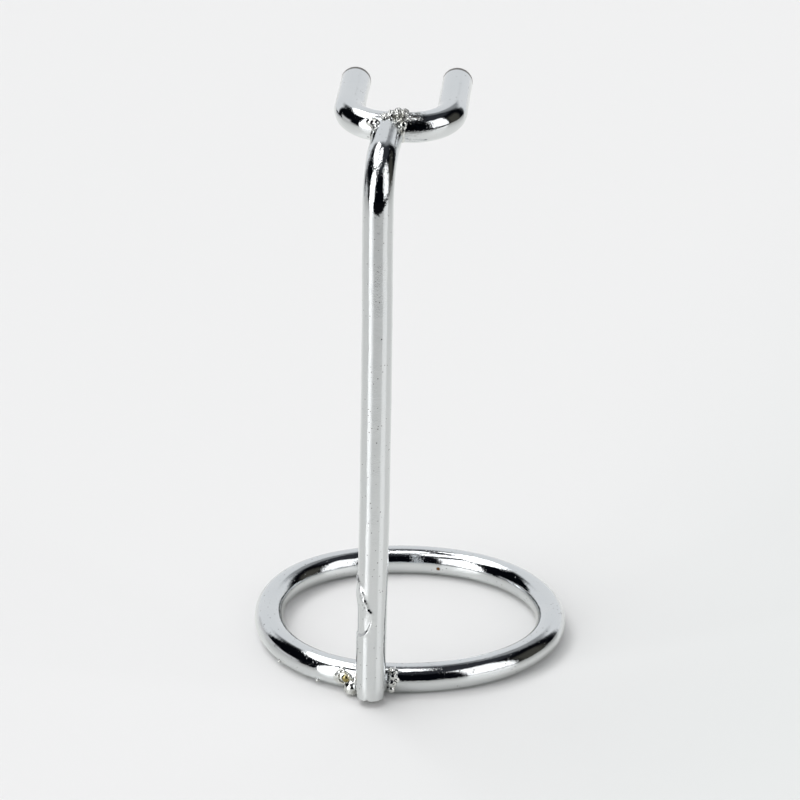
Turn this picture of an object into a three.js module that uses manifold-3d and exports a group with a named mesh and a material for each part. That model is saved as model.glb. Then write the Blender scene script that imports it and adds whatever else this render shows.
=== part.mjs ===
// A free-standing test tube holder: three plated steel rods and the weld beads that join them.
// Millimetres. +Z is up, +Y is the way the prongs point, +X is to the right.
// The origin is the middle of the footprint, on the surface that the holder stands on.

import * as THREE from "three";
import { mergeVertices } from "three/addons/utils/BufferGeometryUtils.js";
import Module from "manifold-3d";

const wasm = await Module();
wasm.setup();

// Driving dimensions, in millimetres. Angles are in degrees.
const ROD_DIAMETER = 6;
const RING_RADIUS = 29.8; // centreline of the base ring
const SHANK_HEIGHT = 104.5; // straight length of the upright, from its foot to the bend
const FOOT_RISE = 1.2; // the upright's foot ends just above the table
const BEND_RADIUS = 9.6; // centreline
const BEND_ANGLE = 80.7;
const ARM_LENGTH = 8; // from the end of the bend to the centreline of the web
const PRONG_SPACING = 20.2; // between the centrelines of the two prongs
const CORNER_RADIUS = 8.1; // centreline
const LEFT_PRONG = 13.4; // straight lengths
const RIGHT_PRONG = 14.6;
const PRONG_RISE = 7.5; // the prongs climb a little towards their tips
const UPRIGHT_BEARING = 7.05; // how far the upright stands round the ring from -Y, towards -X
const ARM_BEARING = 2.6; // how far the arm turns from +Y, towards +X
const UPRIGHT_LEAN = 0.23; // how far the upright leans towards +X
const FORK_SHIFT = 1.3; // the fork's middle lies to the right of the arm
const CONTACT_GAP = 0.1; // between the upright and the ring
const WELD_GAP = 0.3; // between weld metal and the rods it joins

// How finely the round shapes are divided.
const SECTION_SIDES = 16;
const RING_SEGMENTS = 72;
const UPRIGHT_STEPS = 72;
const FORK_STEPS = 44;
const BEAD_SEGMENTS = 18;

const RADIUS = ROD_DIAMETER / 2;
const HALF_SIDE = Math.PI / SECTION_SIDES;
const RING_HEIGHT = RADIUS * Math.cos(HALF_SIDE); // a flat of the section lies on the table
const REACH = RING_RADIUS + ROD_DIAMETER + CONTACT_GAP; // from the ring's centre to the upright
const bearing = THREE.MathUtils.degToRad(UPRIGHT_BEARING);
const ringCentre = new THREE.Vector3(0, (REACH * Math.cos(bearing) - RING_RADIUS) / 2, 0);

const chrome = new THREE.MeshStandardMaterial({ color: 0xcfd3d8, metalness: 1, roughness: 0.08 });
const weldMetal = new THREE.MeshStandardMaterial({ color: 0xb9bab6, metalness: 1, roughness: 0.3 });

// A circular arc in 3-D, from the point centre - across * radius, turning towards along.
class Arc extends THREE.Curve {
  constructor(centre, across, along, radius, angle) {
    super();
    Object.assign(this, { centre, across, along, radius, angle });
  }

  getPoint(t, target = new THREE.Vector3()) {
    const turn = this.angle * t;
    return target
      .copy(this.centre)
      .addScaledVector(this.across, -this.radius * Math.cos(turn))
      .addScaledVector(this.along, this.radius * Math.sin(turn));
  }
}

const vector = (x, y, z) => new THREE.Vector3(x, y, z);

// Straight up, one bend towards +Y, and a short arm.
function uprightPath(armLength) {
  const angle = THREE.MathUtils.degToRad(BEND_ANGLE);
  const shankTop = vector(0, 0, SHANK_HEIGHT);
  const centre = vector(0, BEND_RADIUS, SHANK_HEIGHT);
  const bend = new Arc(centre, vector(0, 1, 0), vector(0, 0, 1), BEND_RADIUS, angle);
  const armStart = bend.getPoint(1);
  const armDirection = vector(0, Math.sin(angle), Math.cos(angle));
  const armEnd = armStart.clone().addScaledVector(armDirection, armLength);
  const path = new THREE.CurvePath();
  path.add(new THREE.LineCurve3(vector(0, 0, 0), shankTop));
  path.add(bend);
  path.add(new THREE.LineCurve3(armStart, armEnd));
  return path;
}

// A U in the XY plane: the web lies along X through the origin, the prongs point along +Y.
function forkPath() {
  const quarter = Math.PI / 2;
  const side = PRONG_SPACING / 2;
  const inner = side - CORNER_RADIUS;
  const left = new Arc(
    vector(-inner, CORNER_RADIUS, 0), vector(1, 0, 0), vector(0, -1, 0), CORNER_RADIUS, quarter,
  );
  const right = new Arc(
    vector(inner, CORNER_RADIUS, 0), vector(0, 1, 0), vector(1, 0, 0), CORNER_RADIUS, quarter,
  );
  const path = new THREE.CurvePath();
  path.add(new THREE.LineCurve3(vector(-side, CORNER_RADIUS + LEFT_PRONG, 0), left.getPoint(0)));
  path.add(left);
  path.add(new THREE.LineCurve3(left.getPoint(1), right.getPoint(0)));
  path.add(right);
  path.add(new THREE.LineCurve3(right.getPoint(1), vector(side, CORNER_RADIUS + RIGHT_PRONG, 0)));
  return path;
}

// Round rod swept along a path.
function rod(path, radius, steps) {
  const section = new THREE.Shape().absarc(0, 0, radius, 0, 2 * Math.PI);
  const curveSegments = SECTION_SIDES / 2;
  return new THREE.ExtrudeGeometry(section, { steps, curveSegments, extrudePath: path });
}

// Round rod bent to a closed ring about Z, with a flat of its section at the bottom.
function ring(radius) {
  const profile = [];
  for (let i = 0; i <= SECTION_SIDES; i += 1) {
    const angle = (2 * i + 1) * HALF_SIDE;
    profile.push(new THREE.Vector2(RING_RADIUS + radius * Math.cos(angle), radius * Math.sin(angle)));
  }
  return new THREE.LatheGeometry(profile, RING_SEGMENTS).rotateX(Math.PI / 2);
}

// A lump of weld metal: an ellipsoid whose surface swells and dips.
function bead(centre, size, phase) {
  const geometry = new THREE.SphereGeometry(1, BEAD_SEGMENTS, BEAD_SEGMENTS / 2 + 3);
  const points = geometry.getAttribute("position");
  const point = new THREE.Vector3();
  for (let i = 0; i < points.count; i += 1) {
    point.fromBufferAttribute(points, i);
    const swell = Math.sin(5 * point.x + phase) + Math.sin(4 * point.y - phase) + Math.sin(6 * point.z);
    point.multiplyScalar(1 + 0.045 * swell);
    points.setXYZ(i, point.x, point.y, point.z);
  }
  return geometry.scale(...size).translate(...centre);
}

// Closed three.js geometry to a solid that can be cut, and back.
function toSolid(geometry) {
  const bare = geometry.clone();
  bare.deleteAttribute("normal");
  bare.deleteAttribute("uv");
  const merged = mergeVertices(bare, 1e-4);
  const vertProperties = new Float32Array(merged.getAttribute("position").array);
  const triVerts = new Uint32Array(merged.getIndex().array);
  return new wasm.Manifold(new wasm.Mesh({ numProp: 3, vertProperties, triVerts }));
}

function toGeometry(solid) {
  const { vertProperties, triVerts } = solid.getMesh();
  const geometry = new THREE.BufferGeometry();
  geometry.setAttribute("position", new THREE.BufferAttribute(vertProperties, 3));
  geometry.setIndex(new THREE.BufferAttribute(triVerts, 1));
  geometry.computeVertexNormals();
  return geometry;
}

// Takes the room that the neighbours need out of a piece.
function cutBy(geometry, neighbours) {
  const room = neighbours.map(toSolid);
  return toGeometry(room.reduce((solid, neighbour) => solid.subtract(neighbour), toSolid(geometry)));
}

// A geometry given in one group's frame, as it lies in another group's frame.
function seenFrom(group, owner, geometry) {
  const toGroup = group.matrixWorld.clone().invert();
  return geometry.clone().applyMatrix4(owner.matrixWorld).applyMatrix4(toGroup);
}

function named(name, geometry, material) {
  const mesh = new THREE.Mesh(geometry, material);
  mesh.name = name;
  return mesh;
}

function frame(position, rotation) {
  const group = new THREE.Group();
  group.position.copy(position);
  group.rotation.set(...rotation);
  return group;
}

const holder = new THREE.Group();

const ringFrame = frame(ringCentre.clone().setZ(RING_HEIGHT), [0, 0, 0]);

const foot = vector(-REACH * Math.sin(bearing), -REACH * Math.cos(bearing), FOOT_RISE).add(ringCentre);
const uprightTurn = [0, THREE.MathUtils.degToRad(UPRIGHT_LEAN), -THREE.MathUtils.degToRad(ARM_BEARING)];
const uprightFrame = frame(foot, uprightTurn);

// The fork's frame sits at the middle of its web, where the arm's centreline meets the web's.
uprightFrame.updateMatrixWorld(true);
const joint = uprightPath(ARM_LENGTH).getPoint(1).applyMatrix4(uprightFrame.matrixWorld);
const forkFrame = frame(joint.add(vector(FORK_SHIFT, 0, 0)), [THREE.MathUtils.degToRad(PRONG_RISE), 0, 0]);

// The base welds' frame stands under the upright, with +Y towards the ring's centre.
const baseWeldFrame = frame(foot.clone().setZ(0), [0, 0, -bearing]);

holder.add(ringFrame, uprightFrame, forkFrame, baseWeldFrame);
holder.updateMatrixWorld(true);

ringFrame.add(named("base_ring", ring(RADIUS), chrome));

const cutArm = ARM_LENGTH - RADIUS - WELD_GAP;
uprightFrame.add(named("upright", rod(uprightPath(cutArm), RADIUS, UPRIGHT_STEPS), chrome));

forkFrame.add(named("fork", rod(forkPath(), RADIUS, FORK_STEPS), chrome));

// The rods grown by the weld gap: what the beads have to clear.
const ringRoom = ring(RADIUS + WELD_GAP);
const uprightRoom = rod(uprightPath(cutArm + WELD_GAP), RADIUS + WELD_GAP, UPRIGHT_STEPS);
const forkRoom = rod(forkPath(), RADIUS + WELD_GAP, FORK_STEPS);

function addBaseWeld(name, centre, size, phase) {
  const neighbours = [
    seenFrom(baseWeldFrame, ringFrame, ringRoom),
    seenFrom(baseWeldFrame, uprightFrame, uprightRoom).translate(0, 0, -FOOT_RISE),
  ];
  baseWeldFrame.add(named(name, cutBy(bead(centre, size, phase), neighbours), weldMetal));
}

function addForkWeld(name, shape, others) {
  const neighbours = [forkRoom, seenFrom(forkFrame, uprightFrame, uprightRoom), ...others];
  forkFrame.add(named(name, cutBy(shape, neighbours), weldMetal));
}

addBaseWeld("weld_base_left", [-3.9, 3.4, 2.9], [2.6, 2.6, 2.5], 0.4);
addBaseWeld("weld_base_right", [3.6, 3.4, 3], [2.1, 2.4, 2.4], 1.9);

const capCentre = [-FORK_SHIFT + 0.6, -2.2, 2.6];
const capSize = [3.4, 3, 1.7];
const capRoom = bead(capCentre, capSize.map((length) => length + WELD_GAP), 0.9);
addForkWeld("weld_fork_cap", bead(capCentre, capSize, 0.9), []);
addForkWeld("weld_fork_left", bead([-FORK_SHIFT - 3.4, -3.4, 0], [2, 2.3, 2.4], 2.6), [capRoom]);
addForkWeld("weld_fork_right", bead([-FORK_SHIFT + 3.4, -3.4, 0], [2, 2.3, 2.4], 4.1), [capRoom]);

export default holder;
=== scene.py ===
"""Looks of the test tube holder: chrome-plated rods, weld beads, floor, studio and camera.

Shapes are worked out in millimetres in the CAD model's frame and stored in metres.
"""

import math

import bmesh
import bpy
import numpy as np
from mathutils import Matrix, Vector, noise


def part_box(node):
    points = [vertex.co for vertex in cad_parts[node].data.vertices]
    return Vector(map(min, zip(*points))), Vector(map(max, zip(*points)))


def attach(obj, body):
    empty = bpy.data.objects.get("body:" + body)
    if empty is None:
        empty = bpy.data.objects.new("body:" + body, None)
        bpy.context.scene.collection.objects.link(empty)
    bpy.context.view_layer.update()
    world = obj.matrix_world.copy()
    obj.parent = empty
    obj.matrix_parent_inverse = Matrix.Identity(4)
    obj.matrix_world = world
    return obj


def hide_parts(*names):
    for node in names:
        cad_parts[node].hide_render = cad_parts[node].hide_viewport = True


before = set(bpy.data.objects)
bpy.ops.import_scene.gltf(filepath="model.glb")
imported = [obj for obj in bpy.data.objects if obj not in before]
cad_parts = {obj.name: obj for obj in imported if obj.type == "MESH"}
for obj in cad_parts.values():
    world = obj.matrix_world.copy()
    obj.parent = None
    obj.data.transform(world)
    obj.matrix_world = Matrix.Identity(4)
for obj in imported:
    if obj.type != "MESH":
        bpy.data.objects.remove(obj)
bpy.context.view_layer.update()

MM = 0.001
DEGREES = 180 / math.pi

# The CAD model's driving dimensions, in millimetres and degrees.
ROD_RADIUS = 3.0
RING_RADIUS = 29.8
SHANK_HEIGHT = 104.5
FOOT_RISE = 1.2
BEND_RADIUS = 9.6
BEND_ANGLE = 80.7
ARM_LENGTH = 8.0
PRONG_SPACING = 20.2
CORNER_RADIUS = 8.1
LEFT_PRONG = 13.4
RIGHT_PRONG = 14.6
PRONG_RISE = 7.5
UPRIGHT_BEARING = 7.05
ARM_BEARING = 2.6
UPRIGHT_LEAN = 0.23
FORK_SHIFT = 1.3
CONTACT_GAP = 0.1

# How the real bend curves: distance from BEND_START, and curvature per millimetre before it is scaled to turn
# through BEND_TURN. It is bent in two strokes, so it is flatter in the middle and tightest near the arm.
# The upright's middle line ends inside the rod of the fork.
BEND_START = 105.82
BEND_TURN = 76.7
UPRIGHT_LENGTH = 123.89
BEND_PROFILE = [
    (-3.6, 0.0), (0.2, 0.118), (6.1, 0.118), (7.0, 0.056),
    (8.2, 0.056), (8.7, 0.225), (9.9, 0.225), (10.3, 0.0),
]

# Camera: it looks down at the holder from the front, a long lens a long way off.
LENS = 166.9
SENSOR_WIDTH = 36.0
CAMERA_AZIMUTH = 4.53
CAMERA_ELEVATION = 21.48
CAMERA_ROLL = 0.75
CAMERA_DISTANCE = 779.8
AIM = (-3.6, 19.3, 45.3)

# The studio, in metres from the holder and degrees. It is laid out square to the front view and stands
# still. "Bearing" is counted from the front and "behind" from the back, both positive to the right as seen
# from the front. LEFT_BOX also has the softness of its sides.
STUDIO_HEADING = CAMERA_AZIMUTH
FLOOR_RADIUS = 3.0
TABLE_FRONT = 0.37
LEFT_BOX = ((-64, -37), 4)
LEFT_BOX_BRIGHTNESS = 4.0
SIDE_CARD_DISTANCE = 0.48
SIDE_CARD_HEIGHT = 0.060
SIDE_CARD_SPAN = (-68, -38)
SIDE_CARD_COLOUR = (0.60, 0.60, 0.61, 1)


# ---------------------------------------------------------------- frames of the parts

def placed(origin, rotation):
    """A matrix, in millimetres, from an origin and an (x, y, z) rotation in degrees."""
    x, y, z = (math.radians(angle) for angle in rotation)
    turn = Matrix.Rotation(x, 4, "X") @ Matrix.Rotation(y, 4, "Y") @ Matrix.Rotation(z, 4, "Z")
    return Matrix.Translation(origin) @ turn


def box_middle(node):
    low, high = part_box(node)
    return (low + high) / 2 / MM


REACH = RING_RADIUS + 2 * ROD_RADIUS + CONTACT_GAP
BEARING = math.radians(UPRIGHT_BEARING)
ring_middle = box_middle("base_ring")
RING_FRAME = placed((ring_middle.x, ring_middle.y, ROD_RADIUS), (0, 0, 0))
FOOT = Vector((ring_middle.x - REACH * math.sin(BEARING), ring_middle.y - REACH * math.cos(BEARING), 0))
UPRIGHT_FRAME = placed(FOOT + Vector((0, 0, FOOT_RISE)), (0, UPRIGHT_LEAN, -ARM_BEARING))
BASE_WELD_FRAME = placed(FOOT, (0, 0, -UPRIGHT_BEARING))


def arm_point(length):
    """A point on the arm's centreline, in the upright's frame."""
    angle = math.radians(BEND_ANGLE)
    y = BEND_RADIUS * (1 - math.cos(angle)) + length * math.sin(angle)
    z = SHANK_HEIGHT + BEND_RADIUS * math.sin(angle) + length * math.cos(angle)
    return Vector((0, y, z))


FORK_FRAME = placed(UPRIGHT_FRAME @ arm_point(ARM_LENGTH) + Vector((FORK_SHIFT, 0, 0)), (PRONG_RISE, 0, 0))


# ---------------------------------------------------------------- rods

def line(start, end, step):
    """Points from start up to, not including, end."""
    start, end = np.array(start, float), np.array(end, float)
    count = max(1, int(round(np.linalg.norm(end - start) / step)))
    return start + (end - start) * (np.arange(count) / count)[:, None]


def arc(centre, across, along, radius, angle, step):
    """Points on an arc that starts at centre - across * radius and turns towards along."""
    count = max(2, int(round(radius * angle / step)))
    turn = (np.arange(count) / count * angle)[:, None]
    centre, across, along = (np.array(v, float) for v in (centre, across, along))
    return centre - across * radius * np.cos(turn) + along * radius * np.sin(turn)


def upright_path(step):
    """Centreline of the upright in its own frame, in the YZ plane."""
    count = int(round(UPRIGHT_LENGTH / step))
    piece = UPRIGHT_LENGTH / count
    middle = (np.arange(count) + 0.5) * piece
    tilt = np.cumsum(np.interp(middle - BEND_START, *zip(*BEND_PROFILE)))
    tilt *= math.radians(BEND_TURN) / tilt[-1]
    steps = np.stack([0 * tilt, np.sin(tilt), np.cos(tilt)], -1) * piece
    return np.vstack([(0, 0, 0), np.cumsum(steps, 0)])


def fork_path(step):
    """Centreline of the fork in its own frame, in the XY plane, from the left tip to the right tip."""
    side, quarter = PRONG_SPACING / 2, math.pi / 2
    inner = side - CORNER_RADIUS
    tip = (side, CORNER_RADIUS + RIGHT_PRONG, 0)
    return np.vstack([
        line((-side, CORNER_RADIUS + LEFT_PRONG, 0), (-side, CORNER_RADIUS, 0), step),
        arc((-inner, CORNER_RADIUS, 0), (1, 0, 0), (0, -1, 0), CORNER_RADIUS, quarter, step),
        line((-inner, 0, 0), (inner, 0, 0), step),
        arc((inner, CORNER_RADIUS, 0), (0, 1, 0), (1, 0, 0), CORNER_RADIUS, quarter, step),
        line((side, CORNER_RADIUS, 0), tip, step),
        [tip],
    ])


FACE_DARK = 0.35  # the plate on a cut face, next to 1 at its burnt rim
CAP_SPACING = 0.25  # between the rings that close a rod's end and the rings of the rod


def cap_stations(chamfer, burnt):
    """(distance from the end, radius factor, darkness) of the rings that close a rod's end.

    burnt is how far the dark of the cut reaches along the rod, or 0.
    """
    inside = [(0.0, f, FACE_DARK) for f in (0.25, 0.5, 0.75, 1 - 1.6 * chamfer / ROD_RADIUS)]
    # two rings round the chamfer: shares of it along the rod and inwards
    edge = [(chamfer * d, 1 - chamfer * f / ROD_RADIUS, 1.0) for d, f in ((0.06, 1.0), (0.45, 0.3))]
    reach = max(burnt, 1.1 * chamfer)
    return inside + edge + [(chamfer, 1.0, float(burnt > 0)), (reach, 1.0, float(burnt > 0))]


def rod(name, place, path, normal, sides, chamfers=None, offset=None, burnt=(0, 0)):
    """A round rod along a flat path, as a mesh object.

    normal is the direction square to the path's plane. chamfers are those of its two ends, or None for a
    closed ring. offset(along, around) gives how far the surface stands out, in millimetres. burnt is how
    far the dark of each cut end reaches along the rod.
    Vertices keep where they lie on the straightened rod in the attribute "rod", and how much of a cut
    face they are in "cut".
    """
    closed = chamfers is None
    shifted = np.roll(path, -1, 0) - np.roll(path, 1, 0)
    if not closed:
        shifted[0], shifted[-1] = path[1] - path[0], path[-1] - path[-2]
    tangent = shifted / np.linalg.norm(shifted, axis=1)[:, None]
    along = np.concatenate([[0], np.cumsum(np.linalg.norm(np.diff(path, axis=0), axis=1))])
    factor, cut = np.ones(len(path)), np.zeros(len(path))
    if not closed:
        first, last = cap_stations(chamfers[0], burnt[0]), cap_stations(chamfers[1], burnt[1])[::-1]
        total = along[-1]
        keep = (along > first[-1][0] + CAP_SPACING) & (along < total - last[0][0] - CAP_SPACING)
        start = [path[0] + tangent[0] * d for d, _, _ in first]
        end = [path[-1] - tangent[-1] * d for d, _, _ in last]
        tangent = np.vstack([[tangent[0]] * len(first), tangent[keep], [tangent[-1]] * len(last)])
        along = np.concatenate([[d for d, _, _ in first], along[keep], [total - d for d, _, _ in last]])
        factor = np.concatenate([[f for _, f, _ in first], factor[keep], [f for _, f, _ in last]])
        cut = np.concatenate([[c for _, _, c in first], cut[keep], [c for _, _, c in last]])
        path = np.vstack([start, path[keep], end])
    binormal = np.array(normal, float)
    inward = np.cross(binormal, tangent)
    around = np.arange(sides) / sides * 2 * math.pi
    outward = np.cos(around)[None, :, None] * inward[:, None] + np.sin(around)[None, :, None] * binormal
    radius = np.full((len(path), sides), ROD_RADIUS)
    if offset is not None:
        radius = radius + offset(along[:, None], around[None, :])
    points = path[:, None] + outward * (radius * factor[:, None])[..., None]
    straight = np.stack([
        ROD_RADIUS * np.cos(around)[None] * factor[:, None],
        ROD_RADIUS * np.sin(around)[None] * factor[:, None],
        np.repeat(along[:, None], sides, 1),
    ], -1)
    rows = len(path)
    verts, coords, cuts = points.reshape(-1, 3), straight.reshape(-1, 3), np.repeat(cut, sides)
    faces = []
    for row in range(rows if closed else rows - 1):
        below, above = row * sides, (row + 1) % rows * sides
        for i in range(sides):
            j = (i + 1) % sides
            faces.append((below + i, below + j, above + j, above + i))
    if not closed:
        verts = np.vstack([verts, path[0], path[-1]])
        coords = np.vstack([coords, (0, 0, 0), (0, 0, along[-1])])
        cuts = np.append(cuts, (FACE_DARK, FACE_DARK))
        low, high, top = len(verts) - 2, len(verts) - 1, (rows - 1) * sides
        faces += [(low, (i + 1) % sides, i) for i in range(sides)]
        faces += [(high, top + i, top + (i + 1) % sides) for i in range(sides)]
    return mesh_object(name, place, verts, faces, {"rod": coords * MM, "cut": cuts})


def linked(name, data):
    """A new object in the scene, with this mesh or camera."""
    made = bpy.data.objects.new(name, data)
    bpy.context.scene.collection.objects.link(made)
    return made


def mesh_object(name, place, verts, faces, attributes):
    """A smooth-shaded object from vertices in millimetres in a part's frame."""
    mesh = bpy.data.meshes.new(name)
    matrix = np.array(place)
    world = (np.asarray(verts) @ matrix[:3, :3].T + matrix[:3, 3]) * MM
    mesh.from_pydata(world.tolist(), [], faces)
    for key, values in attributes.items():
        values = np.asarray(values, np.float32)
        kind, field = ("FLOAT_VECTOR", "vector") if values.ndim == 2 else ("FLOAT", "value")
        mesh.attributes.new(key, kind, "POINT").data.foreach_set(field, values.ravel())
    mesh.update()
    working = bmesh.new()
    working.from_mesh(mesh)
    bmesh.ops.recalc_face_normals(working, faces=working.faces)
    working.to_mesh(mesh)
    working.free()
    mesh.shade_smooth()
    return linked(name, mesh)


def ease(value, low, high):
    """0 below low, 1 above high, smooth between them."""
    t = np.clip((value - low) / (high - low), 0, 1)
    return t * t * (3 - 2 * t)


def waviness(along, around, seed, amount=0.010):
    """The faint unevenness of drawn and plated rod."""
    slow = np.sin(along * 0.31 + seed) * np.cos(around + seed)
    fast = np.sin(along * 1.13 + 2 * around + 1.7 * seed) + np.cos(along * 0.87 - 3 * around + seed)
    return amount * (slow + 0.35 * fast)


# The ring is rolled by hand, so it is slightly three- and four-lobed: how many lobes, their height and phase.
RING_LOBES = [(3, 0.34, 1.16), (4, 0.26, 2.31)]
RING_CLEARANCE = 0.012  # keeps the uneven ring above the floor


def make_ring():
    count = 480
    bearing = np.arange(count) / count * 2 * math.pi
    radius = RING_RADIUS
    for lobes, height, phase in RING_LOBES:
        radius = radius + height * np.cos(lobes * bearing + phase)
    path = np.stack([radius * np.sin(bearing), -radius * np.cos(bearing), 0 * bearing], -1)

    def offset(along, around):
        turn = along / RING_RADIUS
        uneven = 0.007 * np.sin(9 * turn + 2 * around) + 0.005 * np.cos(17 * turn - around)
        return uneven - RING_CLEARANCE

    return rod("chrome_base_ring", RING_FRAME, path, (0, 0, 1), sides=72, offset=offset)


# The right edge of the old weld mark: height along the upright and angle from the front, in degrees.
SCAR_RIM = [
    (14.2, -58.0), (14.8, -26.0), (16.0, -4.0), (18.0, 9.0), (19.8, 1.0), (21.6, -19.0), (24.5, -40.0),
    (27.5, -76.0),
]
SCAR_DEPTH = 0.20  # of its dish; the rest is how far its parts stand out
SCAR_RIM_HEIGHT = 0.10
SCAR_RIDGE = 0.27
SCAR_CRINKLE = 0.11
SCAR_BULGE = 0.42


def scar(along, turn):
    """An old weld mark on the upright: how far it stands out, from the height and the angle in degrees.

    turn is 0 at the front and positive to the right. A crinkled ridge runs down to the right over a
    smooth shallow dish, which a thin rim closes on the right and below.
    """
    edge = np.interp(along, *zip(*SCAR_RIM))
    low, high = SCAR_RIM[0][0], SCAR_RIM[-1][0]
    inside = ease(along, low, low + 0.5) * (1 - ease(along, high - 0.5, high))
    dish = -SCAR_DEPTH * inside * (1 - ease(turn, edge - 14, edge - 4)) * ease(turn, -112, -80)
    rim = SCAR_RIM_HEIGHT * inside * np.exp(-((turn - edge) / 6) ** 2)
    crinkle = np.sin(along * 4.2 + turn * 0.14) + 0.5 * np.sin(along * 8.6 - turn * 0.2)
    upper = ease(along, 18.0, 20.5) * inside
    ridge = upper * np.exp(-((turn - edge + 12) / 14) ** 2) * (SCAR_RIDGE + SCAR_CRINKLE * crinkle)
    bulge = SCAR_BULGE * np.exp(-((along - 23.0) / 2.2) ** 2) * np.exp(-((turn + 86) / 26) ** 2)
    return dish + rim + ridge + bulge


# The upright bows to the left at its foot and at its top: how far, and the heights between which it turns.
FOOT_BOW = (0.28, 4.0, 46.0)
TOP_BOW = (0.22, 70.0, 108.0)
FOOT_TAPER = (0.26, 3.0)  # how much thinner the rod is at its foot, and how far up


def make_upright():
    path = upright_path(step=0.25)
    height = path[:, 2]
    foot_bow = FOOT_BOW[0] * (1 - ease(height, *FOOT_BOW[1:]))
    path[:, 0] -= foot_bow + TOP_BOW[0] * ease(height, *TOP_BOW[1:])

    def offset(along, around):
        turn = (np.degrees(around) - ARM_BEARING) % 360.0 - 180.0
        foot = -FOOT_TAPER[0] * (1 - ease(along, 0.0, FOOT_TAPER[1]))
        # a nick in the front edge of the foot
        nick = -0.5 * np.exp(-((along - 0.1) / 0.5) ** 2 - ((turn + 10) / 8) ** 2)
        return waviness(along, around, 1.0) + foot + nick + scar(along, turn)

    chamfers = (0.35, 0.2)
    return rod("chrome_upright", UPRIGHT_FRAME, path, (-1, 0, 0), sides=144, chamfers=chamfers, offset=offset)


def make_fork():
    def offset(along, around):
        return waviness(along, around, 4.2)

    return rod(
        "chrome_fork", FORK_FRAME, fork_path(step=0.3), (0, 0, 1),
        sides=96, chamfers=(0.22, 0.22), offset=offset, burnt=(0.9, 0.9),
    )


# ---------------------------------------------------------------- weld metal

MELT_VOXEL = 0.11
SOFTEN_STEPS = 6
CREVICE_WIDTH = 0.22  # of the creases between cells of the wrinkles, in cells
CREVICE_DEPTH = 0.9  # next to 1 for the rounded wrinkles
ROUNDED_FINENESS = 1.4  # of the rounded wrinkles, next to the creased cells


def lumps(name, place, blobs, rough, seed, stains=(), grain=0.65):
    """Weld metal: round lumps (centre, size) melted together, then wrinkled. Sizes in millimetres.

    stains are (centre, radius) spots, kept in the attribute "stain". grain is the wrinkles' fineness.
    """
    working = bmesh.new()
    for centre, size in blobs:
        size = size if isinstance(size, tuple) else (size,) * 3
        shape = Matrix.Translation(centre) @ Matrix.Diagonal((*size, 1))
        bmesh.ops.create_icosphere(working, subdivisions=3, radius=1, matrix=shape)
    mesh = bpy.data.meshes.new(name)
    working.to_mesh(mesh)
    working.free()
    made = linked(name, mesh)
    melt = made.modifiers.new("melt", "REMESH")
    melt.mode = "VOXEL"
    melt.voxel_size = MELT_VOXEL
    soften = made.modifiers.new("soften", "SMOOTH")
    soften.iterations = SOFTEN_STEPS
    soften.factor = 0.5
    graph = bpy.context.evaluated_depsgraph_get()
    melted = bpy.data.meshes.new_from_object(made.evaluated_get(graph), depsgraph=graph)
    made.modifiers.clear()
    made.data = melted
    bpy.data.meshes.remove(mesh)
    stained = []
    for vertex, normal in zip(melted.vertices, [v.normal.copy() for v in melted.vertices]):
        spot = vertex.co + Vector((seed, seed * 2, 0))
        rounded = noise.fractal(spot * grain * ROUNDED_FINENESS, 1.0, 2.0, 2)
        distances = noise.voronoi(spot * grain)[0]
        crevice = max(0.0, CREVICE_WIDTH - (distances[1] - distances[0])) / CREVICE_WIDTH
        vertex.co += normal * rough * (rounded - CREVICE_DEPTH * crevice * crevice)
        stained.append(sum(math.exp(-((vertex.co - Vector(c)).length / r) ** 4) for c, r in stains))
    melted.attributes.new("stain", "FLOAT", "POINT").data.foreach_set("value", stained)
    melted.transform(Matrix.Scale(MM, 4) @ place)
    melted.shade_smooth()
    return made


# The crater of the left base weld: its middle in the weld's frame, which stands under the upright with x
# along the ring and y towards its middle, and how far it is turned along the ring.
CRATER = Vector((-6.45, 3.3, 3.25))
CRATER_SIDE = math.radians(11.45)
# Its two rims: radius, and where the rim starts and ends in radians.
CRATER_RIMS = [(1.35, 0.0, 6.2), (2.0, -1.0, 1.5)]
CRATER_SPACING = 0.28  # between the lumps along a rim


def make_base_weld_left():
    along = Vector((-math.cos(CRATER_SIDE), math.sin(CRATER_SIDE), 0))
    inward = Vector((math.sin(CRATER_SIDE), math.cos(CRATER_SIDE), 0))
    blobs = []
    for radius, first, last in CRATER_RIMS:
        for turn in np.arange(first, last, CRATER_SPACING / radius):
            side, rise = radius * math.cos(turn), radius * math.sin(turn)
            spot = CRATER + along * side + Vector((0, 0, rise)) + inward * (rise * rise / 6 - 0.12)
            blobs.append((tuple(spot), 0.30 + 0.09 * math.sin(turn * 4.7 + radius)))
    blobs += [
        (tuple(CRATER - along * 0.35), (0.95, 0.60, 0.90)),
        ((-4.6, 2.3, 1.8), (1.75, 1.6, 1.7)),
        ((-3.8, 2.5, 3.4), (0.9, 1.1, 0.9)),
        ((-3.3, 3.4, 4.9), (0.5, 0.8, 0.5)),
    ]
    speck = CRATER - inward * 0.4 - along * 0.35
    return lumps("weld_metal_base_left", BASE_WELD_FRAME, blobs, 0.04, 3.1, [(speck, 1.2)])


def make_base_weld_right():
    blobs = [
        ((3.4, 4.3, 5.5), (1.2, 1.0, 0.6)),
        ((3.4, 3.8, 4.6), (1.1, 1.0, 0.9)),
        ((4.1, 3.9, 3.7), (0.9, 0.7, 0.8)),
        ((3.4, 3.4, 3.2), (1.2, 1.1, 1.0)),
        ((3.3, 3.2, 2.0), (1.0, 1.1, 0.9)),
    ]
    return lumps("weld_metal_base_right", BASE_WELD_FRAME, blobs, 0.07, 7.7)


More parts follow.
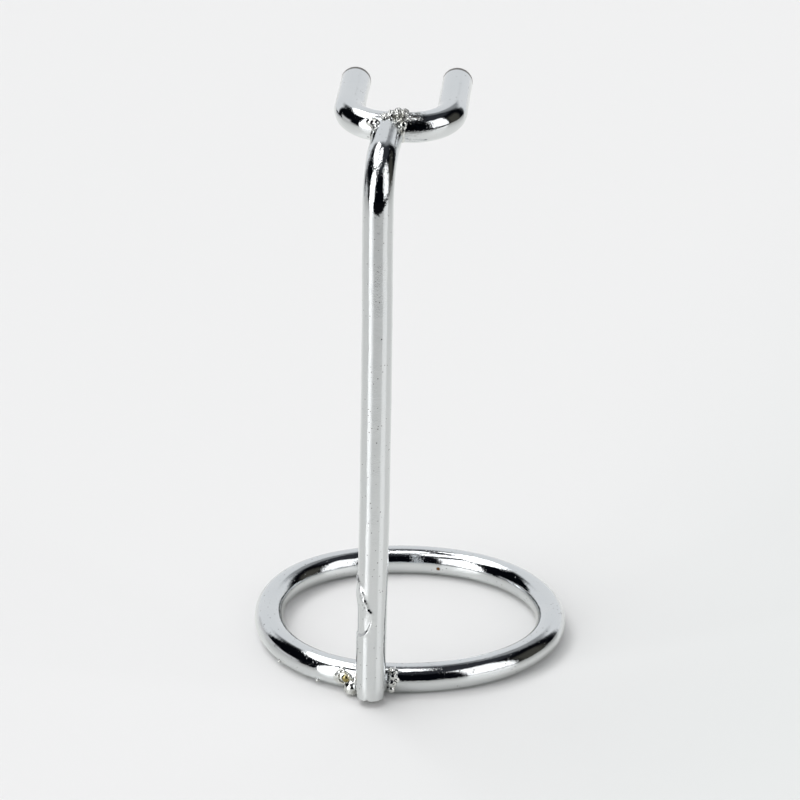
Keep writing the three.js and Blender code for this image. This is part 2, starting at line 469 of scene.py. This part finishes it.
def make_fork_weld_left():
    blobs = [
        ((-4.1, -2.4, 1.4), (1.1, 1.0, 1.3)),
        ((-4.7, -1.7, 1.6), (1.4, 1.0, 1.0)),
        ((-3.9, -3.3, 0.9), (0.7, 1.3, 1.2)),
        ((-4.1, -2.8, -1.0), (1.1, 1.3, 1.7)),
    ]
    return lumps("weld_metal_fork_left", FORK_FRAME, blobs, 0.03, 2.2)


def make_fork_weld_right():
    blobs = [
        ((1.3, -2.3, 1.4), (0.85, 0.8, 1.1)),
        ((1.9, -2.1, 1.0), (0.8, 0.55, 0.8)),
        ((1.1, -3.3, 0.8), (0.45, 1.3, 0.9)),
        ((1.2, -2.6, 0.1), (0.7, 0.8, 0.9)),
        ((1.1, -2.3, -1.1), (0.7, 0.9, 1.2)),
    ]
    return lumps("weld_metal_fork_right", FORK_FRAME, blobs, 0.07, 5.9)


def make_fork_cap():
    blobs = [
        ((-2.3, -1.3, 2.75), (0.9, 1.0, 0.7)),
        ((-1.0, -0.8, 3.1), (0.9, 1.0, 0.85)),
        ((0.2, -0.4, 3.3), (0.95, 1.1, 0.95)),
        ((1.4, -0.5, 3.2), (0.9, 1.1, 0.9)),
        ((2.5, -1.4, 2.35), (0.7, 0.65, 0.5)),
        ((0.5, -2.0, 2.2), (1.3, 0.8, 0.8)),
    ]
    return lumps("weld_metal_fork_cap", FORK_FRAME, blobs, 0.22, 11.3, grain=1.6)


# Drops of weld metal that fell on the ring: the place and the radius.
SPATTER = [
    ((-24.8, -18.06, 1.3), 0.45), ((-16.15, -25.58, 1.0), 0.40), ((-23.87, -19.64, 2.0), 0.22),
]


def make_spatter():
    blobs = [(place, radius) for place, radius in SPATTER]
    return lumps("weld_metal_spatter", Matrix.Identity(4), blobs, 0.03, 1.3)


# ---------------------------------------------------------------- materials

class Tree:
    """Short calls for building a node tree. Scales of noise are in cells per metre."""

    def __init__(self, tree):
        self.tree = tree
        tree.nodes.clear()

    def add(self, kind, inputs=None, **settings):
        node = self.tree.nodes.new(kind)
        for key, value in settings.items():
            setattr(node, key, value)
        for key, value in (inputs or {}).items():
            self.put(node.inputs[key], value)
        return node

    def put(self, socket, value):
        if isinstance(value, bpy.types.NodeSocket):
            self.tree.links.new(value, socket)
        else:
            socket.default_value = value

    def math(self, operation, a, b=0.0, c=0.0, clamp=False):
        node = self.add("ShaderNodeMath", {0: a, 1: b, 2: c}, operation=operation, use_clamp=clamp)
        return node.outputs[0]

    def ramp(self, value, low, high, start=0.0, end=1.0):
        """start below low, end above high, smooth between them."""
        node = self.add(
            "ShaderNodeMapRange",
            {"Value": value, "From Min": low, "From Max": high, "To Min": start, "To Max": end},
            interpolation_type="SMOOTHSTEP",
        )
        return node.outputs["Result"]

    def window(self, value, span, soft):
        """1 inside the span, 0 outside it, with sides as wide as soft."""
        rise = self.ramp(value, span[0] - soft / 2, span[0] + soft / 2)
        fall = self.ramp(value, span[1] - soft / 2, span[1] + soft / 2, 1.0, 0.0)
        return self.math("MULTIPLY", rise, fall)

    def mix(self, factor, a, b, blend="MIX"):
        node = self.add("ShaderNodeMix", data_type="RGBA", blend_type=blend)
        self.put(node.inputs[0], factor)
        self.put(node.inputs[6], a)
        self.put(node.inputs[7], b)
        return node.outputs[2]

    def layers(self, value, added):
        """The value plus each (layer, amount) of the list."""
        for layer, amount in added:
            value = self.math("ADD", value, self.math("MULTIPLY", layer, amount))
        return value

    def metal(self, base, rough, height, strength, depth):
        """The surface at the end of the tree: bumps as deep as depth, in metres, from the height."""
        bump = self.add("ShaderNodeBump", {"Height": height, "Strength": strength, "Distance": depth})
        shader = self.add("ShaderNodeBsdfPrincipled", {
            "Base Color": base, "Metallic": 1.0, "Roughness": rough, "Normal": bump.outputs["Normal"],
        })
        self.add("ShaderNodeOutputMaterial", {"Surface": shader.outputs[0]})

    def noise(self, vector, scale, detail=3.0, rough=0.55):
        inputs = {"Vector": vector, "Scale": scale, "Detail": detail, "Roughness": rough}
        return self.add("ShaderNodeTexNoise", inputs).outputs["Fac"]

    def scaled(self, vector, factors):
        return self.add("ShaderNodeVectorMath", {0: vector, 1: factors}, operation="MULTIPLY").outputs[0]


def new_material(name):
    material = bpy.data.materials.new(name)
    material.use_nodes = True
    return material, Tree(material.node_tree)


def near(t, where, place, low, high):
    """1 within low millimetres of a place in the CAD frame, 0 beyond high."""
    point = tuple(value * MM for value in place)
    distance = t.add("ShaderNodeVectorMath", {0: where, 1: point}, operation="DISTANCE").outputs["Value"]
    return t.ramp(distance, low * MM, high * MM, 1.0, 0.0)


# Colours, as a pair where a surface runs from one to the other.
PLATE = ((0.69, 0.715, 0.735, 1), (0.74, 0.755, 0.765, 1))
PIT = (0.10, 0.09, 0.08, 1)
RUST = (0.16, 0.07, 0.02, 1)
SOOT = (0.05, 0.045, 0.035, 1)
BURNT = (0.09, 0.075, 0.06, 1)
WELD = ((0.62, 0.63, 0.61, 1), (0.76, 0.77, 0.76, 1))
DULL_WELD = (0.16, 0.15, 0.11, 1)
TARNISH = ((0.07, 0.055, 0.01, 1), (0.36, 0.28, 0.04, 1))
WHITE = (1.0, 1.0, 1.0, 1)
# the matt floor's colour, left then right and front: the step from one to the other is painted shade
FLOOR_WITH_PAINTED_SHADE = ((0.80, 0.80, 0.80, 1), (0.755, 0.77, 0.765, 1))
# the satin table top's colour, near then at the front edge: the dimming is a painted falloff of the light
TABLE_TOP_PAINTED_FALLOFF = ((0.845, 0.845, 0.82, 1), (0.665, 0.665, 0.65, 1))
# painted darkness: the floor beyond the table and the side card, near black in place of the unlit room
PAINTED_DARK_BEYOND_TABLE = (0.004, 0.004, 0.005, 1)

# Marks on the plate: the place, how far they are solid and where they end.
RUST_SPOT = ((4.4, 29.05, 2.45), 0.25, 0.60)
SCORCHED = ((2.9, -1.7, 2.5), 1.4, 3.9)  # the web beside the fork's weld, in the fork's frame
STRETCHED = ((0, 2, 110), 4.0, 8.0)  # the outside of the bend, in the upright's frame
DARK_PITS = [
    ((32.0, 3.4, 5.0), 0.15, 0.32), ((9.2, -28.35, 1.97), 0.1, 0.3), ((7.6, -28.7, 1.9), 0.08, 0.25),
    ((10.6, -27.9, 2.0), 0.08, 0.22), ((-22.0, 16.5, 5.6), 0.1, 0.25),
]


def chrome_material():
    material, t = new_material("chrome_plate")
    where = t.add("ShaderNodeTexCoord").outputs["Object"]
    rod_at = t.add("ShaderNodeAttribute", attribute_name="rod").outputs["Vector"]
    cut = t.add("ShaderNodeAttribute", attribute_name="cut").outputs["Fac"]

    cloud = t.noise(where, 180.0)
    scratch = t.noise(t.scaled(rod_at, (4200.0, 4200.0, 240.0)), 1.0, 2.0)
    scratch_mask = t.ramp(t.noise(where, 420.0), 0.5, 0.66)
    scratched = t.math("MULTIPLY", t.ramp(scratch, 0.60, 0.72), scratch_mask)

    pit_cells = t.add("ShaderNodeTexVoronoi", {"Vector": where, "Scale": 620.0}).outputs["Distance"]
    pit_choice = t.ramp(t.noise(where, 310.0, 2.0), 0.58, 0.66)
    pits = t.math("MULTIPLY", t.ramp(pit_cells, 0.07, 0.13, 1.0, 0.0), pit_choice)
    speck_cells = t.add("ShaderNodeTexVoronoi", {"Vector": where, "Scale": 1000.0}).outputs["Distance"]
    speck_choice = t.ramp(t.noise(where, 240.0, 3.0), 0.44, 0.57, 0.0, 0.85)
    specks = t.math("MULTIPLY", t.ramp(speck_cells, 0.08, 0.15, 1.0, 0.0), speck_choice)
    pits = t.math("MAXIMUM", pits, specks)
    for mark in DARK_PITS:
        pits = t.math("ADD", pits, near(t, where, *mark), clamp=True)
    rust = near(t, where, *RUST_SPOT)
    scorched = near(t, where, FORK_FRAME @ Vector(SCORCHED[0]), *SCORCHED[1:])
    soot = t.math("MULTIPLY", t.ramp(t.noise(where, 2600.0, 2.0), 0.38, 0.56), scorched)

    base = t.mix(cloud, *PLATE)
    base = t.mix(pits, base, PIT)
    base = t.mix(rust, base, RUST)
    base = t.mix(t.math("MULTIPLY", soot, 0.85), base, SOOT)
    base = t.mix(t.math("MULTIPLY", cut, 0.9), base, BURNT)

    rough = t.layers(t.ramp(cloud, 0.3, 0.75, 0.03, 0.075), [(scratched, 0.10), (cut, 0.25), (rust, 0.4)])

    # orange peel of the plate, lines of the drawn rod under it, and fine grit in patches
    peel = t.noise(where, 1300.0, 3.0, 0.6)
    lines = t.noise(t.scaled(rod_at, (1500.0, 1500.0, 130.0)), 1.0, 3.0, 0.6)
    grit_patch = t.ramp(t.noise(where, 130.0, 2.0), 0.45, 0.62)
    stretched = near(t, where, UPRIGHT_FRAME @ Vector(STRETCHED[0]), *STRETCHED[1:])
    gritty = t.math("ADD", grit_patch, t.math("ADD", scorched, stretched))
    grit = t.math("MULTIPLY", t.noise(where, 3600.0, 1.0), gritty)
    raised = [(lines, 0.030), (grit, 0.040), (pits, -0.05), (scratched, -0.006)]
    height = t.layers(t.math("MULTIPLY", peel, 0.026), raised)
    t.metal(base, rough, height, 1.0, MM * 0.6)
    return material


def weld_material():
    material, t = new_material("plated_weld")
    where = t.add("ShaderNodeTexCoord").outputs["Object"]
    stain = t.add("ShaderNodeAttribute", attribute_name="stain").outputs["Fac"]
    cloud = t.noise(where, 900.0, 4.0)
    dull = t.ramp(t.noise(where, 500.0, 3.0), 0.50, 0.66)
    base = t.mix(cloud, *WELD)
    base = t.mix(t.math("MULTIPLY", dull, 0.6), base, DULL_WELD)
    base = t.mix(t.math("MULTIPLY", stain, 0.9, clamp=True), base, t.mix(cloud, *TARNISH))
    rough = t.ramp(cloud, 0.35, 0.7, 0.04, 0.11)
    t.metal(base, rough, t.noise(where, 1500.0, 2.0), 0.5, MM * 0.04)
    return material


def round_the_table(t, vector):
    """A place or direction in the studio as (right, frontwards, up), its bearing, and its angle behind."""
    heading = {"Vector": vector, "Angle": -math.radians(STUDIO_HEADING)}
    turned = t.add("ShaderNodeVectorRotate", heading, rotation_type="Z_AXIS").outputs[0]
    x, y, z = t.add("ShaderNodeSeparateXYZ", {0: turned}).outputs
    ahead = t.math("MULTIPLY", y, -1.0)
    bearing = t.math("MULTIPLY", t.math("ARCTAN2", x, ahead), DEGREES)
    behind = t.math("MULTIPLY", t.math("ARCTAN2", x, y), DEGREES)
    return (x, ahead, z), bearing, behind


def floor_material():
    """Matt and evenly lit where it is seen itself, and a satin table top where the chrome mirrors it.

    The table top is painted dimmer towards its front edge, a painted falloff of the light. Beyond that edge
    and beyond the side card
    the room is dark: the floor there is painted near black as painted darkness, but for the foot of the left
    soft box, which glows there.
    """
    material, t = new_material("pale_floor")
    where = t.add("ShaderNodeTexCoord").outputs["Object"]
    (across, ahead, _), bearing, behind = round_the_table(t, where)
    # seen itself, it has painted shade: its colour is a little darker to the right and front, where the light
    # falls off
    painted_shade_slant = t.math("ADD", across, t.math("MULTIPLY", ahead, 0.35))
    matt = t.add("ShaderNodeBsdfPrincipled", {
        "Base Color": t.mix(t.ramp(painted_shade_slant, -0.02, 0.12), *FLOOR_WITH_PAINTED_SHADE),
        "Roughness": 1.0,
        "Specular IOR Level": 0.0,
        "Emission Color": WHITE,
        "Emission Strength": 0.03,
    })
    # painted falloff of the light: the table top's colour is dimmer towards its front edge
    top = t.mix(t.ramp(ahead, 0.06, TABLE_FRONT), *TABLE_TOP_PAINTED_FALLOFF)
    front_end = t.ramp(ahead, TABLE_FRONT, TABLE_FRONT + 0.02)
    box_foot = t.math("MULTIPLY", t.window(bearing, *LEFT_BOX), front_end)
    distance = t.add("ShaderNodeVectorMath", {0: where}, operation="LENGTH").outputs["Value"]
    side_end = t.ramp(distance, SIDE_CARD_DISTANCE, SIDE_CARD_DISTANCE + 0.005)
    side_end = t.math("MULTIPLY", side_end, t.window(behind, SIDE_CARD_SPAN, 4))
    # painted darkness: beyond the table's front edge and beyond the side card the floor is near black with no
    # gloss, for the unlit room
    beyond = t.math("MAXIMUM", front_end, side_end)
    satin = t.add("ShaderNodeBsdfPrincipled", {
        "Base Color": t.mix(beyond, top, PAINTED_DARK_BEYOND_TABLE),
        "Roughness": 0.16,
        "Specular IOR Level": t.math("MULTIPLY", t.math("SUBTRACT", 1.0, beyond), 0.5),
        "Emission Color": WHITE,
        "Emission Strength": t.math("MULTIPLY", box_foot, LEFT_BOX_BRIGHTNESS),
    })
    seen = t.add("ShaderNodeLightPath").outputs["Is Camera Ray"]
    shader = t.add("ShaderNodeMixShader", {0: seen, 1: satin.outputs[0], 2: matt.outputs[0]})
    t.add("ShaderNodeOutputMaterial", {"Surface": shader.outputs[0]})
    return material


# ---------------------------------------------------------------- studio

def make_floor():
    working = bmesh.new()
    bmesh.ops.create_circle(working, cap_ends=True, segments=96, radius=FLOOR_RADIUS)
    mesh = bpy.data.meshes.new("floor")
    working.to_mesh(mesh)
    working.free()
    floor = linked("floor", mesh)
    mesh.materials.append(floor_material())


def side_card_material():
    """Pale to mirrored rays and clear to all others. It isn't sampled as a light."""
    material, t = new_material("side_card")
    mirrored = t.add("ShaderNodeLightPath").outputs["Is Glossy Ray"]
    clear = t.add("ShaderNodeBsdfTransparent")
    glow = t.add("ShaderNodeEmission", {"Color": SIDE_CARD_COLOUR, "Strength": 1.0})
    shader = t.add("ShaderNodeMixShader", {0: mirrored, 1: clear.outputs[0], 2: glow.outputs[0]})
    t.add("ShaderNodeOutputMaterial", {"Surface": shader.outputs[0]})
    material.cycles.emission_sampling = "NONE"
    return material


def make_side_card():
    """A low card, bent round the left end of the table. The bend of the upright sees over it."""
    start, end = (math.radians(angle - STUDIO_HEADING) for angle in SIDE_CARD_SPAN)
    count = 48
    verts = []
    for angle in (start + (end - start) * i / count for i in range(count + 1)):
        x, y = SIDE_CARD_DISTANCE * math.sin(angle), SIDE_CARD_DISTANCE * math.cos(angle)
        verts += [(x, y, 0.0), (x, y, SIDE_CARD_HEIGHT)]
    faces = [(i, i + 2, i + 3, i + 1) for i in range(0, 2 * count, 2)]
    mesh = bpy.data.meshes.new("side_card")
    mesh.from_pydata(verts, [], faces)
    mesh.materials.append(side_card_material())
    card = linked("side_card", mesh)


DARK_ROOM = (0.002, 0.0025, 0.004, 1)
CEILING = ((50, 80), 12, (0.034, 0.036, 0.042, 1))  # its span in elevation, softness and colour
PALE = (0.82, 0.835, 0.85, 1)
GREY = (0.30, 0.31, 0.32, 1)
DIM = (0.06, 0.058, 0.05, 1)
SEEN_BEHIND = (0.87, 0.87, 0.87, 1)
FILL = (0.30, 0.30, 0.30, 1)  # even light for matt surfaces only

# What stands behind the table, each row over the ones before it: its angles behind and their softness, its
# elevations and their softness, and its colour.
BACKDROP = [
    ("grey top of the backdrop", (-40, 46), 20, (-30, 67), 22, GREY),
    ("dim wall at the right", (68, 96), 12, (-10, 34), 16, DIM),
    ("pale backdrop", (-51, 46), 8, (-30, 32), 14, PALE),
    ("higher part of the backdrop", (-33, 20), 12, (-30, 57), 14, PALE),
    ("low card at the left", (-94, -66), 8, (-30, 7), 7, SIDE_CARD_COLOUR),
]

# Soft boxes round the table, over the backdrop: bearing and elevation, both from - to, the softness of the
# edge, and the brightness.
CARDS = [
    ("right soft box", (42, 79), (2, 51), 5, 1.5),
    ("left soft box", LEFT_BOX[0], (-6, 47), LEFT_BOX[1], LEFT_BOX_BRIGHTNESS),
    ("left soft box, dim side", (-40, -28), (-6, 47), 5, 1.6),
    ("upper left soft box", (-156, -70), (51, 72), 6, 4.0),
    ("upper front left soft box", (-80, -18), (60, 75), 6, 2.5),
    ("overhead strip", (-35, 55), (75.5, 82), 2, 2.4),
]
OVERHEAD = (3.0, 3.0, 3.0, 1)
OVERHEAD_EDGE = (80, 84)


def make_world():
    world = bpy.data.worlds.new("studio")
    bpy.context.scene.world = world
    world.use_nodes = True
    t = Tree(world.node_tree)
    direction = t.add("ShaderNodeTexCoord").outputs["Generated"]
    (_, _, up), bearing, behind = round_the_table(t, direction)
    elevation = t.math("MULTIPLY", t.math("ARCSINE", up), DEGREES)

    elevations, soft, ceiling = CEILING
    colour = t.mix(t.window(elevation, elevations, soft), DARK_ROOM, ceiling)
    for _, span, soft, elevations, top_soft, shade in BACKDROP:
        mask = t.math("MULTIPLY", t.window(behind, span, soft), t.window(elevation, elevations, top_soft))
        colour = t.mix(mask, colour, shade)
    for _, bearings, elevations, soft, brightness in CARDS:
        mask = t.math("MULTIPLY", t.window(bearing, bearings, soft), t.window(elevation, elevations, soft))
        colour = t.mix(mask, colour, (brightness, brightness, brightness, 1))
    colour = t.mix(t.ramp(elevation, *OVERHEAD_EDGE), colour, OVERHEAD)

    rays = t.add("ShaderNodeLightPath")
    colour = t.mix(rays.outputs["Is Diffuse Ray"], colour, FILL, blend="ADD")
    colour = t.mix(rays.outputs["Is Camera Ray"], colour, SEEN_BEHIND)
    shader = t.add("ShaderNodeBackground", {"Color": colour, "Strength": 1.0})
    t.add("ShaderNodeOutputWorld", {"Surface": shader.outputs[0]})


def make_camera():
    azimuth, elevation = math.radians(CAMERA_AZIMUTH), math.radians(CAMERA_ELEVATION)
    back = Vector((
        math.sin(azimuth) * math.cos(elevation),
        -math.cos(azimuth) * math.cos(elevation),
        math.sin(elevation),
    ))
    data = bpy.data.cameras.new("camera")
    data.lens = LENS
    data.sensor_width = SENSOR_WIDTH
    data.clip_start, data.clip_end = 0.05, 20.0
    camera = linked("camera", data)
    camera.location = (Vector(AIM) + back * CAMERA_DISTANCE) * MM
    facing = back.to_track_quat("Z", "Y") @ Matrix.Rotation(math.radians(CAMERA_ROLL), 4, "Z").to_quaternion()
    camera.rotation_mode = "QUATERNION"
    camera.rotation_quaternion = facing
    bpy.context.scene.camera = camera


# ---------------------------------------------------------------- the scene

def add_piece(piece, material, node=None):
    piece.data.materials.clear()
    piece.data.materials.append(material)
    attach(piece, "root")
    if node:
        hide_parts(node)


bpy.context.scene.view_settings.view_transform = "Standard"
make_camera()
make_floor()
make_side_card()
make_world()

chrome = chrome_material()
weld = weld_material()
add_piece(make_ring(), chrome, "base_ring")
add_piece(make_upright(), chrome, "upright")
add_piece(make_fork(), chrome, "fork")
add_piece(make_base_weld_left(), weld, "weld_base_left")
add_piece(make_base_weld_right(), weld, "weld_base_right")
add_piece(make_fork_weld_left(), weld, "weld_fork_left")
add_piece(make_fork_weld_right(), weld, "weld_fork_right")
add_piece(make_fork_cap(), weld, "weld_fork_cap")
add_piece(make_spatter(), weld)
